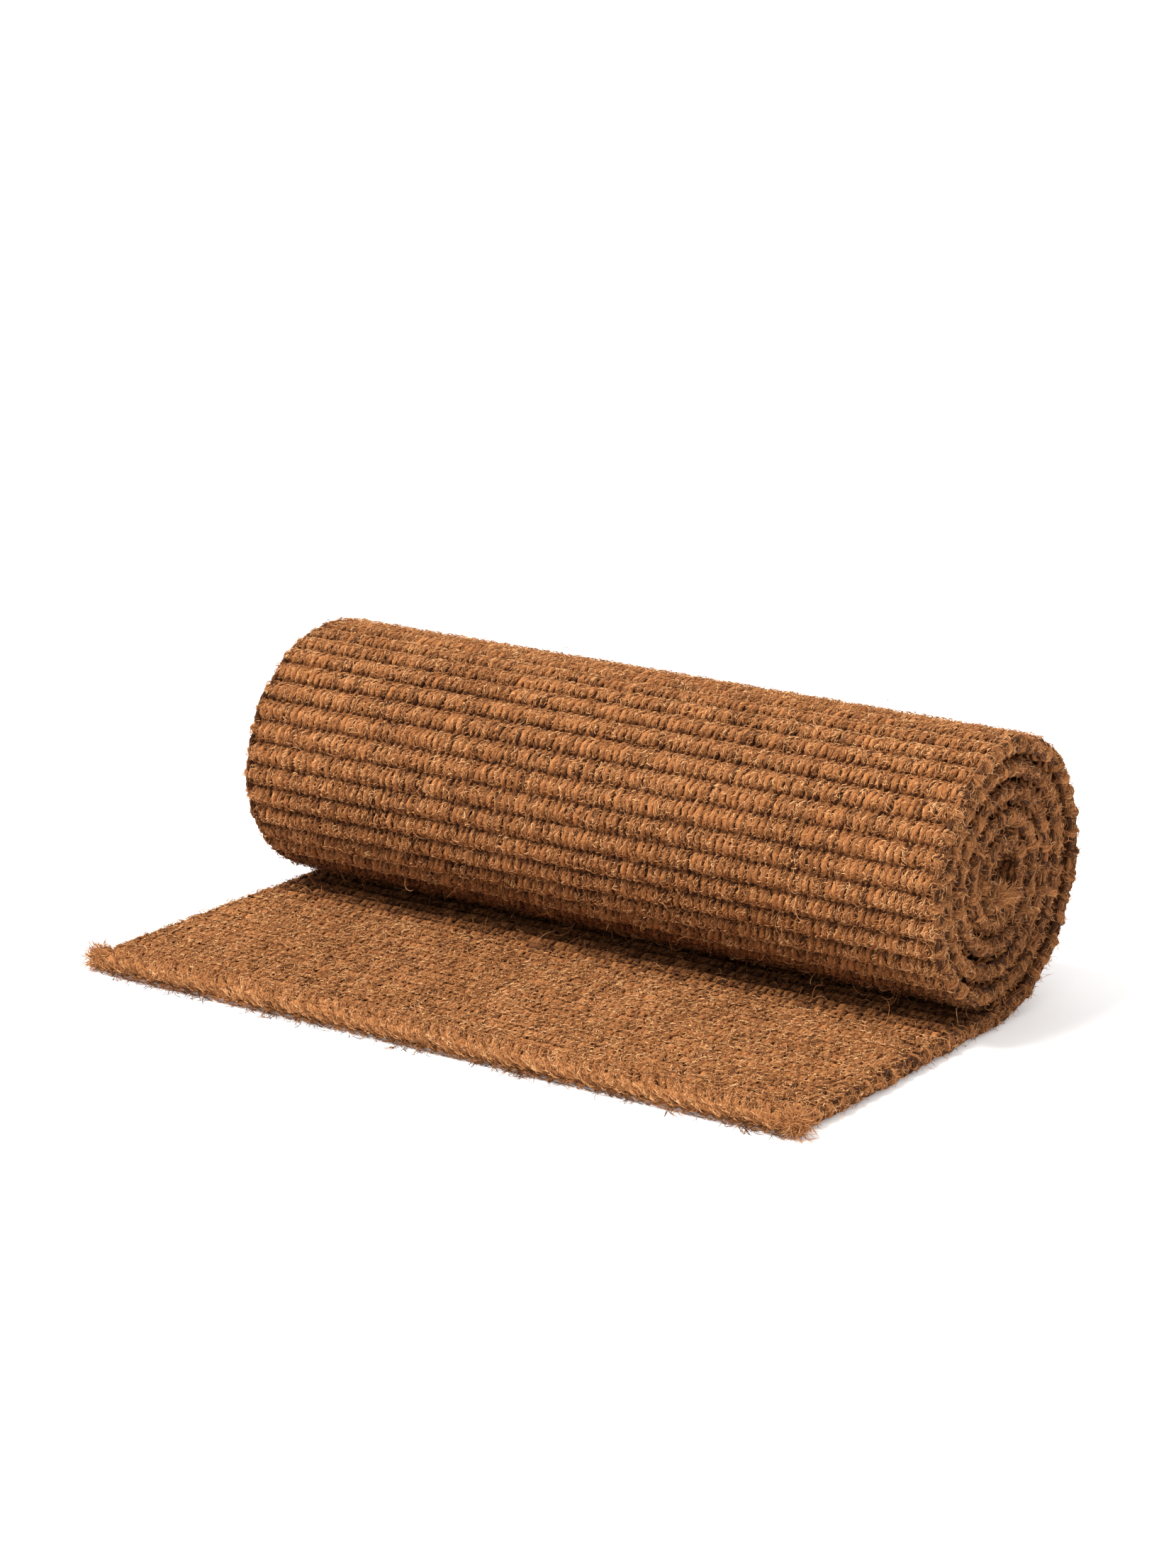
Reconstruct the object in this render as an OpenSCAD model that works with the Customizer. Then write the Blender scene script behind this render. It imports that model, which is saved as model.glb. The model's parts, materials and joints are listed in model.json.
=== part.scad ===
/* [Mat] */
// Width of the mat along its ribs
mat_width = 600; // [400:10:900]
// Thickness of the woven mat, which is the height of one rib
mat_thickness = 15.6; // [12:0.1:15.8]
// Distance from the middle of one rib to the middle of the next
rib_pitch = 16.4; // [16.2:0.1:18]
// Diameter of the weft cord inside each rib
weft_diameter = 9; // [6:0.5:10]
// Clearance all round a weft cord, inside the warp that wraps it
weft_clearance = 0.05; // [0.02:0.01:0.2]
// How far a weft cord's rounded end stands out of the warp
weft_overhang = 7; // [5:1:10]

/* [Rolled shape] */
// Height of the outer turn's middle above its lowest point
roll_radius = 102; // [102:1:120]
// Distance from one turn to the next
turn_pitch = 17.2; // [17:0.1:19]
// Width of the roll divided by its height, as it settles under its weight
roll_flattening = 1.08; // [1.05:0.01:1.12]

/* [Sections] */
// Ribs that lie flat under the roll
laid_ribs = 7; // [7:1:9]
// Ribs in each bending strip
strip_ribs = 3; // [3]
// Bending strips in the free front flap
flap_strips = 3; // [2:1:4]
// Bending strips in the outer turn
turn_strips = 12; // [4:1:12]
// Ribs in each section of the inner roll
coil_section_ribs = 10; // [8:1:10]
// Sections in the inner roll
coil_sections = 8; // [4:1:8]

/* [Edges] */
// Length of an end plait along the mat
plait_length = 23; // [18:1:32]
// Height of an end plait
plait_height = 15.6; // [12:0.1:15.8]
// Radius of the knot that ends a plait at a corner
knot_radius = 9; // [8:0.5:10]
// Length of the frayed tuft on a knot
tuft_length = 12; // [8:1:20]

/* [Hidden] */
$fn = 48;
rib_radius = mat_thickness / 2;
weft_radius = weft_diameter / 2;
bore_radius = weft_radius + weft_clearance;
web_thickness = 3;
web_clearance = 0.6;
edge_gap = 0.8;
knot_gap = 0.4;
tuft_radius = 4;
tuft_root = 0.6 * knot_radius;
tuft_end = tuft_root + tuft_length;
front_tuft_turn = 90;
warp_width = mat_width - 2 * weft_overhang;
plait_width = mat_width - 4 * knot_radius - 2 * knot_gap;
inner_knot_radius = rib_radius - 1;
inner_tuft_root = 0.6 * inner_knot_radius;
inner_tuft_turn = -45;
inner_plait_width = mat_width - 4 * inner_knot_radius - 2 * knot_gap;
WARP_COLOR = [0.72, 0.50, 0.29];
WEFT_COLOR = [0.56, 0.37, 0.21];
EDGE_COLOR = [0.66, 0.45, 0.26];
KNOT_COLOR = [0.60, 0.40, 0.22];

// The mat lies flat along Y up to curl_start, then rolls up in a flattened
// spiral. Angle 0 is where it leaves the floor. It turns up the back (+Y), over
// the top and down the front. All points are [y, z] at mid-thickness.
function turn_radius(angle) = roll_radius - turn_pitch * angle / 360;
function spiral_reach(angle) = roll_flattening * turn_radius(angle) * sin(angle);
function spiral_height(angle) = roll_radius - turn_radius(angle) * cos(angle);
function spiral_point(angle) = [spiral_reach(angle), rib_radius + spiral_height(angle)];
function gap_between(a, b) = norm(spiral_point(b) - spiral_point(a));

// Angle at which the straight distance from the point at angle a is length,
// found by correcting a first guess three times.
function angle_guess(a, length) = length * 180 / (PI * turn_radius(a));
function corrected(a, step, length) = step * length / gap_between(a, a + step);
function angle_after(a, length) =
    let(first = corrected(a, angle_guess(a, length), length))
    let(second = corrected(a, first, length))
    a + corrected(a, second, length);

// Rib middles along the spiral, the first one half a pitch from its start
roll_ribs = turn_strips * strip_ribs + coil_sections * coil_section_ribs;
first_angle = angle_after(0, rib_pitch / 2);
rib_angles = [
    for (i = 0, a = first_angle; i <= roll_ribs; i = i + 1, a = angle_after(a, rib_pitch)) a
];

// The front plait lies flat beyond the last flap rib. The origin is under the
// middle of the whole part, so the curl starts behind it.
tongue_ribs = laid_ribs + flap_strips * strip_ribs;
tongue_length = tongue_ribs * rib_pitch;
front_reach = tongue_length + edge_gap + plait_length / 2 + tuft_end;
back_reach = max([for (a = rib_angles) spiral_reach(a)]) + rib_radius;
curl_start = (front_reach - back_reach) / 2;
front_plait_y = curl_start - tongue_length - edge_gap - plait_length / 2;

function roll_rib(i) = [curl_start, 0] + spiral_point(rib_angles[i]);
function flat_rib(i) = [curl_start - (i + 0.5) * rib_pitch, rib_radius];
function flat_ribs(first, count) = [for (i = [first:first + count - 1]) flat_rib(i)];
function roll_rib_points(first, count) = [for (i = [first:first + count - 1]) roll_rib(i)];
inner_plait_point = roll_rib(roll_ribs);

function two_digits(n) = str(n < 10 ? "0" : "", n);
function flap_name(k) = str("flap_", k);
function strip_name(k) = str("turn_strip_", two_digits(k));
function coil_name(k) = str("inner_coil_", k);
SECTION_NAMES = concat(
    ["laid"],
    [for (k = [1:flap_strips]) flap_name(k)],
    [for (k = [1:turn_strips]) strip_name(k)],
    [for (k = [1:coil_sections]) coil_name(k)]
);

// A cylinder along X, centred on the mat's middle
module across(point, radius, length) {
    translate([-length / 2, point.x, point.y])
        rotate([0, 90, 0])
            cylinder(h = length, r = radius);
}

// The outline, in [y, z], of yarns that cross between two ribs at mid-thickness
module crossing_outline(from, to) {
    run = to - from;
    web_length = norm(run) - 2 * (bore_radius + web_clearance);
    translate((from + to) / 2)
        rotate(atan2(run.y, run.x))
            square([web_length, web_thickness], center = true);
}

// Warp yarns wrapped round each weft cord, and crossing between the ribs
module warp_outline(points) {
    difference() {
        union() {
            for (point = points) translate(point) circle(r = rib_radius);
            for (i = [1:len(points) - 1]) crossing_outline(points[i - 1], points[i]);
        }
        for (point = points) translate(point) circle(r = bore_radius);
    }
}

module warp_section(points) {
    color(WARP_COLOR)
        translate([-warp_width / 2, 0, 0])
            rotate([90, 0, 90])
                linear_extrude(height = warp_width) warp_outline(points);
}

// One weft cord with its rounded ends standing out at the long edges
module weft_cord(point) {
    straight = mat_width - 2 * weft_radius;
    across(point, weft_radius, straight);
    for (side = [-1, 1])
        translate([side * straight / 2, point.x, point.y])
            sphere(r = weft_radius);
}

module weft_section(points) {
    color(WEFT_COLOR)
        for (point = points) weft_cord(point);
}

// A flat braid of warp ends, drawn as a bar with half-round long sides
module front_plait() {
    half_height = plait_height / 2;
    straight = plait_length - plait_height;
    color(EDGE_COLOR)
        translate([-plait_width / 2, front_plait_y, half_height])
            rotate([90, 0, 90])
                linear_extrude(height = plait_width) {
                    translate([-straight / 2, 0]) circle(r = half_height);
                    translate([straight / 2, 0]) circle(r = half_height);
                    square([straight, plait_height], center = true);
                }
}

// The braid at the mat's other end, in the heart of the roll
module inner_plait() {
    color(EDGE_COLOR)
        across(inner_plait_point, rib_radius, inner_plait_width);
}

// A round knot with a short frayed tuft that points away along tuft_turn
module corner_knot(side, point, radius, root, tuft_turn) {
    x = side * (mat_width / 2 - radius);
    color(KNOT_COLOR)
        translate([x, point.x, point.y]) {
            sphere(r = radius);
            rotate([tuft_turn, 0, 0])
                translate([0, 0, root])
                    cylinder(h = tuft_length, r = tuft_radius);
        }
}

module front_knot(side) {
    corner_knot(side, [front_plait_y, knot_radius], knot_radius, tuft_root, front_tuft_turn);
}

module inner_knot(side) {
    corner_knot(side, inner_plait_point, inner_knot_radius, inner_tuft_root, inner_tuft_turn);
}

module warp_and_weft(name, points) {
    warp_section(points);
    weft_section(points);
}

warp_and_weft("laid", flat_ribs(0, laid_ribs));
for (k = [1:flap_strips])
    warp_and_weft(flap_name(k), flat_ribs(laid_ribs + (k - 1) * strip_ribs, strip_ribs));
for (k = [1:turn_strips])
    warp_and_weft(strip_name(k), roll_rib_points((k - 1) * strip_ribs, strip_ribs));
for (k = [1:coil_sections])
    warp_and_weft(
        coil_name(k),
        roll_rib_points(turn_strips * strip_ribs + (k - 1) * coil_section_ribs, coil_section_ribs)
    );
front_plait();
inner_plait();
front_knot(-1);  // front_knot_left
front_knot(1);  // front_knot_right
inner_knot(-1);  // inner_knot_left
inner_knot(1);  // inner_knot_right
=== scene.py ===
import json
import math
import re

import bpy
import numpy as np
from mathutils import Matrix, Vector


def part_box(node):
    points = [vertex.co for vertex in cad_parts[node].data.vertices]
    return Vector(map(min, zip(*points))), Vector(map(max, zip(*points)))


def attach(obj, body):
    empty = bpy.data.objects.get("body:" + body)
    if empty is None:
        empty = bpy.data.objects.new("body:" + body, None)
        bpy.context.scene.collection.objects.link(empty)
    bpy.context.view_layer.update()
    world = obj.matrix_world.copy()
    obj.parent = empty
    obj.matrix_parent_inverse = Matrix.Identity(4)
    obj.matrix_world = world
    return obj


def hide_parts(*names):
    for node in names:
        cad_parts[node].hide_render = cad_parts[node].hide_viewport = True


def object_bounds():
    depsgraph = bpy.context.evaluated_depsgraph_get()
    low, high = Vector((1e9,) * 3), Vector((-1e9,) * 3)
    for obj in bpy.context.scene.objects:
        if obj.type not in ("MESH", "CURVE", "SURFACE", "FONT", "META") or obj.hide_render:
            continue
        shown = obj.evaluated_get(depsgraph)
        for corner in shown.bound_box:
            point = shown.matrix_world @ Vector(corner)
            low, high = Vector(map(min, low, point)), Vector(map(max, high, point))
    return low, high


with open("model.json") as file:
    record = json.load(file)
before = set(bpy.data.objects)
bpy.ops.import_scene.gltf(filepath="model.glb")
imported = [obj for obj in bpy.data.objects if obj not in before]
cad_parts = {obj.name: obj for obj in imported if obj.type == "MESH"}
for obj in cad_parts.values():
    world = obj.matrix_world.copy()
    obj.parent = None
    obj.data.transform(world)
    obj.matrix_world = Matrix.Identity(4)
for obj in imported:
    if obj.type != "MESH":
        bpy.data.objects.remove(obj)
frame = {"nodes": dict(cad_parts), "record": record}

# ---------------------------------------------------------------- sizes (m)
MM = 0.001
YARN_SPACING = 5.7 * MM  # between neighbouring warp yarns on one face of a rib
YARN_WIDE = 2.7 * MM  # half the wide side of the two-ply yarn's section
YARN_FLAT = 1.9 * MM  # half its narrow side
HUMP_HEIGHT = 5.9 * MM  # of a warp yarn's centre line over the mat's middle
HUMP_PLUNGE = 1.9  # above 1, yarns drop steeply into the valleys between ribs
HUMP_LEAN = 1.3 * MM  # sideways, from a hump's middle to its end
CORE_SUNK = 0.8 * MM  # of the yarns' cores, where curls of fibre cover them
SKIN_GAP = 0.15 * MM  # from the yarns to the skin on which those curls lie
ROLL_SKIN = 0.86  # its width on the roll, as a share of the rib's
HUMP_BOW = 1.3 * MM  # sideways, of a hump's middle against its ends
EDGE_MARGIN = 10.5 * MM  # from the mat's long edge to its outermost yarn
CORD_RADIUS = 4.6 * MM  # of a weft cord
KNOB_RADIUS = 5.2 * MM  # of the yarn loops' centre lines round a rib's end
KNOB_INSET = 7.2 * MM  # from the mat's long edge to the middle of those loops
SHEET_INSET = 6.5 * MM  # from the mat's long edge to the crossing yarns' edge
COIL_INSET = 2.6 * MM  # more, in the inner turns, which lie a little deeper
LOOP_RADIUS = 1.6 * MM  # of the yarn in those loops
CROSSING_THICKNESS = 2.6 * MM  # of the yarns that cross at mid-thickness
FIBRE_RADIUS = 0.15 * MM
STRAND_RADIUS = 0.24 * MM  # of a lock of fibres on a yarn's surface
CURL_RADIUS = 0.33 * MM  # of a curl of fibres that lies over the yarns
FLOOR_CLEARANCE = 0.3 * MM  # under loose fibres and curls
LOWEST = 0.02 * MM  # of any point, so that nothing touches the floor plane
SEEN_ENDS = 24 * MM  # how far in from the roll's ends its inner ribs are seen
SPECK_SHARE = 0.03  # of the fibres that are nearly black
SPECK_DARKER = 5  # by which the tone of those fibres is lower
FIBRES_STAND_OFF = 15 * MM  # at most, above the top of the CAD

# Curls and fibres on one face of a rib
SEEN_CURLS = 3000
BEHIND_CURLS = 1300  # on the roll's back and underside, and on ribs under the roll
HEART_CURLS = 200  # at the ends of the innermost turn's ribs
STRAYS = 50
QUIET_STRAYS = 6  # on faces that lie against the floor or the next turn
QUIET_NAP = 110  # short curls on those faces
KNOB_CURLS = 40  # on each knob at a rib's end

# How curls lie on a rib: the spread of their headings, the depth of the dips between
# yarns, their tone, its painted shade towards the valleys, and the share left bare there
TONGUE_CURLS = (1.0, 2.2, 1.75, 0.5, 0.05)
ROLL_CURLS = (0.65, 1.6, 1.75, 2.4, 0.15)
# Painted shade: curls in the shadow under the roll, and on the outer turn's last ribs low at the front,
# are coloured darker, and darker still towards the valleys
DUSK_PAINTED_SHADE = -0.4  # of curls where the shadow under the roll begins
WEDGE_PAINTED_SHADE = -1.8  # of curls further in, on the tongue and on the roll above it
WEDGE_VALLEY_PAINTED_SHADE = 0.5  # darkening of those curls towards the valleys
ROLL_SHADE_PAINTED_RIBS = 3  # last ribs of the outer turn, low at the front

rng = np.random.default_rng(4271)
cad_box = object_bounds()


# ---------------------------------------------------------------- the frame
def mesh_points(node):
    mesh = frame["nodes"][node].data
    flat = np.empty(len(mesh.vertices) * 3, np.float32)
    mesh.vertices.foreach_get("co", flat)
    return flat.reshape(-1, 3).astype(float)


def cord_middles(node):
    """The [y, z] middle of each weft cord in a node, in no order."""
    points = np.unique(np.round(mesh_points(node)[:, 1:], 5), axis=0)
    near = np.linalg.norm(points[:, None] - points[None], axis=2) < 3.5 * MM
    label = np.arange(len(points))
    for _ in range(len(points)):
        spread = np.where(near, label[None, :], len(points)).min(axis=1)
        if (spread == label).all():
            break
        label = spread
    groups = [points[label == k] for k in np.unique(label)]
    return [(g.min(axis=0) + g.max(axis=0)) / 2 for g in groups]


def section_order(node):
    """Sorts weft nodes from the front edge to the heart of the roll."""
    number = int((re.findall(r"\d+", node) or ["0"])[0])
    for rank, stem in enumerate(("flap", "laid", "turn_strip", "inner_coil")):
        if node.startswith(stem):
            return (rank, -number if stem == "flap" else number)
    return (9, number)


BODY_OF = {n: b for b, ns in frame["record"]["behaviour"]["bodies"].items() for n in ns}
SECTIONS = [n[: -len("_weft")] for n in sorted(
    (n for n in BODY_OF if n.endswith("_weft")), key=section_order)]


def rib_chain():
    """Every rib's middle from the front edge inward, with its section."""
    middles, owner, last = [], [], np.array([-9.0, 0.0])
    for section in SECTIONS:
        left = cord_middles(section + "_weft")
        while left:
            k = int(np.argmin([np.linalg.norm(p - last) for p in left]))
            last = left.pop(k)
            middles.append(last)
            owner.append(section)
    return np.array(middles), owner


MIDDLES, OWNER = rib_chain()
HALF_WIDTH = float(cad_box[1][0])
HIGHEST = float(cad_box[1][2]) + FIBRES_STAND_OFF
RIB_RADIUS = float(MIDDLES[0][1])

# Valleys lie between ribs; the warp yarns cross the mat's middle there.
_ends = np.vstack([2 * MIDDLES[0] - MIDDLES[1], MIDDLES, 2 * MIDDLES[-1] - MIDDLES[-2]])
_run = _ends[1:] - _ends[:-1]
VALLEYS = (_ends[:-1] + _ends[1:]) / 2
VALLEY_ALONG = _run / np.linalg.norm(_run, axis=1)[:, None]
VALLEY_UP = np.stack([-VALLEY_ALONG[:, 1], VALLEY_ALONG[:, 0]], 1)
_up = VALLEY_UP[:-1] + VALLEY_UP[1:]
RIB_UP = _up / np.linalg.norm(_up, axis=1)[:, None]
RIB_ALONG = np.stack([RIB_UP[:, 1], -RIB_UP[:, 0]], 1)


def first_rib(stem):
    return next(i for i, s in enumerate(OWNER) if s.startswith(stem))


ROLL_START = first_rib("turn_strip")
COIL_START = first_rib("inner_coil")
COIL_BARED = COIL_START + 32  # ribs that show when the outer turn is unrolled
FAR_RIBS = 5  # ribs of the tongue that lie in the shadow under the roll
HEART_RIBS = 14  # ribs of the innermost turn, seen from the ends
BACK_RIBS = 12  # ribs of the outer turn that rise up the roll's back


# ---------------------------------------------------------------- mesh making
class Soup:
    """Collects closed pieces of mesh, with a tone and a yarn coordinate at each vertex:
    the way along the yarn, and the cosine and sine of the angle round it."""

    def __init__(self):
        self.verts, self.quads, self.tris, self.tone, self.yarn = [], [], [], [], []
        self.count = 0

    def add(self, verts, quads, tris, tone, yarn):
        self.quads.append(quads + self.count)
        self.tris.append(tris + self.count)
        self.verts.append(verts)
        self.tone.append(tone)
        self.yarn.append(yarn)
        self.count += len(verts)

    def object(self, name, material):
        verts, quads, tris = np.vstack(self.verts), np.vstack(self.quads), np.vstack(self.tris)
        verts[:, 2] = verts[:, 2].clip(LOWEST, HIGHEST)
        mesh = bpy.data.meshes.new(name)
        mesh.vertices.add(len(verts))
        mesh.vertices.foreach_set("co", verts.astype(np.float32).ravel())
        corners = np.concatenate([quads.ravel(), tris.ravel()])
        starts = np.concatenate([
            np.arange(len(quads)) * 4,
            len(quads) * 4 + np.arange(len(tris)) * 3])
        mesh.loops.add(len(corners))
        mesh.loops.foreach_set("vertex_index", corners.astype(np.int32))
        mesh.polygons.add(len(starts))
        mesh.polygons.foreach_set("loop_start", starts.astype(np.int32))
        mesh.polygons.foreach_set("use_smooth", np.ones(len(starts), bool))
        tone = mesh.attributes.new("tone", "FLOAT", "POINT")
        tone.data.foreach_set("value", np.concatenate(self.tone).astype(np.float32))
        yarn = mesh.attributes.new("yarn", "FLOAT_VECTOR", "POINT")
        yarn.data.foreach_set("vector", np.vstack(self.yarn).astype(np.float32).ravel())
        mesh.update(calc_edges=True)
        mesh.materials.append(material)
        piece = bpy.data.objects.new(name, mesh)
        bpy.context.scene.collection.objects.link(piece)
        return piece


X_AXIS = np.array([1.0, 0.0, 0.0])
Z_AXIS = np.array([0.0, 0.0, 1.0])


def unit(v):
    return v / np.maximum(np.linalg.norm(v, axis=-1, keepdims=True), 1e-12)


def cross_frames(paths, hint):
    """Side and up vectors across paths (n, rings, 3); side lies near hint."""
    tangent = unit(np.gradient(paths, axis=1))
    up = unit(np.cross(tangent, np.broadcast_to(hint, tangent.shape)))
    return np.cross(up, tangent), up


def tubes(soup, paths, wide, flat, turn, tone, sides, taper=None, hint=X_AXIS):
    """Closed tubes along paths (n, rings, 3), of half sizes wide and flat (n,).
    The oval section turns by the angles turn (n, rings) and tapers by taper (rings,).
    tone is given for each tube, or for each of its rings."""
    n, rings, _ = paths.shape
    side, up = cross_frames(paths, hint)
    if taper is None:
        taper = np.ones(rings)
    around = np.linspace(0, 2 * math.pi, sides, endpoint=False)
    x = np.cos(around) * (wide[:, None] * taper)[:, :, None]
    y = np.sin(around) * (flat[:, None] * taper)[:, :, None]
    c, s = np.cos(turn)[:, :, None], np.sin(turn)[:, :, None]
    across = (x * c - y * s)[..., None] * side[:, :, None]
    over = (x * s + y * c)[..., None] * up[:, :, None]
    verts = (paths[:, :, None] + across + over).reshape(-1, 3)

    first = (np.arange(n) * rings * sides)[:, None, None]
    ring = first + (np.arange(rings - 1) * sides)[None, :, None]
    k = np.arange(sides)
    k2 = (k + 1) % sides
    quads = np.stack([ring + k, ring + k2, ring + sides + k2, ring + sides + k], -1)
    fan = np.arange(1, sides - 1)
    zero = np.zeros_like(fan)
    start_cap = np.stack([zero, fan + 1, fan], -1)
    end_cap = (rings - 1) * sides + np.stack([zero, fan, fan + 1], -1)
    caps = first + np.vstack([start_cap, end_cap])[None]

    steps = np.linalg.norm(np.diff(paths, axis=1), axis=2)
    length = np.concatenate([np.zeros((n, 1)), np.cumsum(steps, axis=1)], axis=1)
    shape = (n, rings, sides)
    length += rng.uniform(0, 5, (n, 1))
    yarn = np.stack([
        np.broadcast_to(length[:, :, None], shape),
        np.broadcast_to(np.cos(around), shape),
        np.broadcast_to(np.sin(around), shape)], -1)
    soup.add(verts, quads.reshape(-1, 4), caps.reshape(-1, 3),
             np.repeat(np.broadcast_to(tone.reshape(n, -1), (n, rings)).ravel(), sides),
             yarn.reshape(-1, 3))


def spindles(soup, paths, size, tone):
    """Closed three-sided fibres along paths (n, rings, 3), pointed at both ends."""
    n, rings, _ = paths.shape
    span = unit(paths[:, -1] - paths[:, 0])
    side, up = cross_frames(paths, unit(np.cross(span, rng.normal(0, 1, (n, 3))))[:, None])
    inner = rings - 2
    around = np.arange(3) * 2 * math.pi / 3
    taper = np.sin(math.pi * np.linspace(0.22, 0.80, inner)) ** 0.6
    thick = (size[:, None] * taper)[:, :, None, None]
    out = np.cos(around)[:, None] * side[:, 1:-1, None] + np.sin(around)[:, None] * up[:, 1:-1, None]
    rims = (paths[:, 1:-1, None] + thick * out).reshape(n, inner * 3, 3)
    verts = np.concatenate([paths[:, :1], rims, paths[:, -1:]], axis=1)
    count = verts.shape[1]
    first = (np.arange(n) * count)[:, None, None]
    k = np.arange(3)
    k2 = (k + 1) % 3
    last_rim = 1 + 3 * (inner - 1)
    tips = np.vstack([
        np.stack([np.zeros(3, int), 1 + k2, 1 + k], -1),
        np.stack([np.full(3, count - 1), last_rim + k, last_rim + k2], -1)])
    ring = 1 + 3 * np.arange(inner - 1)[:, None]
    walls = np.stack([ring + k, ring + k2, ring + 3 + k2, ring + 3 + k], -1).reshape(-1, 4)
    yarn = np.zeros((n, count, 3))
    yarn[:, :, 0] = rng.uniform(0, 5, (n, 1)) + np.linspace(0, 0.006, count)
    yarn[:, :, 1] = 1
    soup.add(verts.reshape(-1, 3), (first + walls).reshape(-1, 4), (first + tips).reshape(-1, 3),
             np.repeat(tone, count), yarn.reshape(-1, 3))


def sampled(rows, u):
    """Values of rows (n, rings, 3) at shares u (n, steps) of the way along."""
    place = u * (rows.shape[1] - 1)
    low = np.minimum(place.astype(int), rows.shape[1] - 2)
    rest = (place - low)[..., None]
    pick = np.arange(len(rows))[:, None]
    return rows[pick, low] * (1 - rest) + rows[pick, low + 1] * rest


def strands(soup, paths, hint, radius, angles, twist, thickness, tone, loose, steps=5):
    """Locks of fibre on the surface of yarns. Each starts at one of angles
    (n, count) round its yarn, winds by twist and may stand off it by loose."""
    n = len(paths)
    side, up = cross_frames(paths, hint)
    share = np.linspace(0, 1, steps)
    for start in angles.T:
        low, high = rng.uniform(0.0, 0.24, n), rng.uniform(0.76, 1.0, n)
        u = low[:, None] + (high - low)[:, None] * share
        wave = 0.45 * np.sin(2 * math.pi * share + rng.uniform(0, 6.3, n)[:, None])
        angle = start[:, None] + twist * (u - 0.5) + wave
        lift = loose * rng.random(n) ** 2.5
        reach = radius[:, None] * rng.uniform(0.78, 1.0, n)[:, None]
        reach = reach + lift[:, None] * np.sin(math.pi * share)
        out = np.cos(angle)[..., None] * sampled(side, u) + np.sin(angle)[..., None] * sampled(up, u)
        line = sampled(paths, u) + reach[..., None] * out
        size = thickness * rng.uniform(0.7, 1.3, n)
        shade = tone + rng.normal(0.5, 1.2, n) - SPECK_DARKER * (rng.random(n) < SPECK_SHARE)
        spindles(soup, line, size, shade)


def round_yarns(soup, paths, hint, radius, locks, twist, tone, sides=6, steps=None):
    """Yarns seen from all round: a core painted dark, for the shade between the locks of
    fibre wound on it. Each lock has as many points as the path has rings, or else steps."""
    n, rings, _ = paths.shape
    size = radius * np.ones(n)
    turn = np.linspace(0, 1, rings) * twist + rng.uniform(0, 3, n)[:, None]
    # Painted shade: the core is coloured 0.8 darker than the locks' tone
    tubes(soup, paths, size * 1.03, size * 0.86, turn, tone - 0.8, sides, hint=hint)
    start = np.linspace(0, 2 * math.pi, locks, endpoint=False)
    angles = start + rng.uniform(-0.4, 0.4, (n, locks))
    strands(soup, paths, hint, size, angles, twist, STRAND_RADIUS * 1.2, tone, 0.9 * MM,
            steps or rings)


def smooth_paths(points, steps):
    """Bezier curves (n, steps, 3) led by the control points (n, k, 3)."""
    degree = points.shape[1] - 1
    u = np.linspace(0, 1, steps)
    weights = np.stack([
        math.comb(degree, i) * u ** i * (1 - u) ** (degree - i) for i in range(degree + 1)])
    return np.einsum("ks,nkc->nsc", weights, points)


# ---------------------------------------------------------------- warp yarns
COLUMNS = int((2 * HALF_WIDTH - 2 * EDGE_MARGIN) / (YARN_SPACING / 2))
YARN_TONE = rng.normal(0, 0.5, COLUMNS)
WAVE_PHASE = rng.uniform(0, 2 * math.pi, (len(MIDDLES) + 1, 3))


def meander(rib, x):
    """A slow wave along a rib, from -1 to 1, for its hand-woven unevenness."""
    waves = [(0.45, 190 * MM), (0.35, 71 * MM), (0.2, 29 * MM)]
    return sum(share * np.sin(2 * math.pi * x / length + WAVE_PHASE[rib, k])
               for k, (share, length) in enumerate(waves))


def rib_curve(rib, v):
    """Points [y, z] and up vectors at shares v of the way between the rib's valleys."""
    a, b = VALLEYS[rib], VALLEYS[rib + 1]
    pull = 2 * MIDDLES[rib] - (a + b) / 2
    v = np.asarray(v)[..., None]
    points = (1 - v) ** 2 * a + 2 * v * (1 - v) * pull + v ** 2 * b
    return points, unit((1 - v) * VALLEY_UP[rib] + v * VALLEY_UP[rib + 1])


def hump_paths(rib, face, x, rings, sunk):
    """Centre lines of the yarns at x where they pass over one face of one rib."""
    n = len(x)
    u = np.linspace(0, 1, rings)
    c = np.cos(math.pi * u)
    v = (1 - np.sign(c) * np.abs(c) ** HUMP_PLUNGE) / 2
    points, up = rib_curve(rib, v)
    arch = np.sin(math.pi * u) ** 0.85
    height = HUMP_HEIGHT * (1 + rng.normal(0, 0.04, n) + 0.05 * meander(rib, x)) - sunk
    lean = HUMP_LEAN + rng.normal(0, 0.6 * MM, n)
    bow = HUMP_BOW + rng.normal(0, 0.5 * MM, n)
    shift = rng.normal(0, 0.45 * MM, n)
    push = rng.normal(0, 0.3 * MM, n) + 0.7 * MM * meander(rib + 1, x)
    along = np.stack([up[:, 1], -up[:, 0]], 1)
    paths = np.empty((n, rings, 3))
    slant = lean[:, None] * face * (2 * v - 1)
    paths[:, :, 0] = (x + shift)[:, None] + slant - bow[:, None] * (arch - 0.5)
    paths[:, :, 1:] = (points + (face * height[:, None] * arch)[..., None] * up
                       + (push[:, None] * arch)[..., None] * along)
    return paths


def hump_columns(rib, face):
    """Which warp yarns pass over one face of a rib: every second one."""
    return np.arange((rib + (face < 0)) % 2, COLUMNS, 2)


def column_place(columns):
    return -HALF_WIDTH + EDGE_MARGIN + (columns + 0.5) * YARN_SPACING / 2


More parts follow.
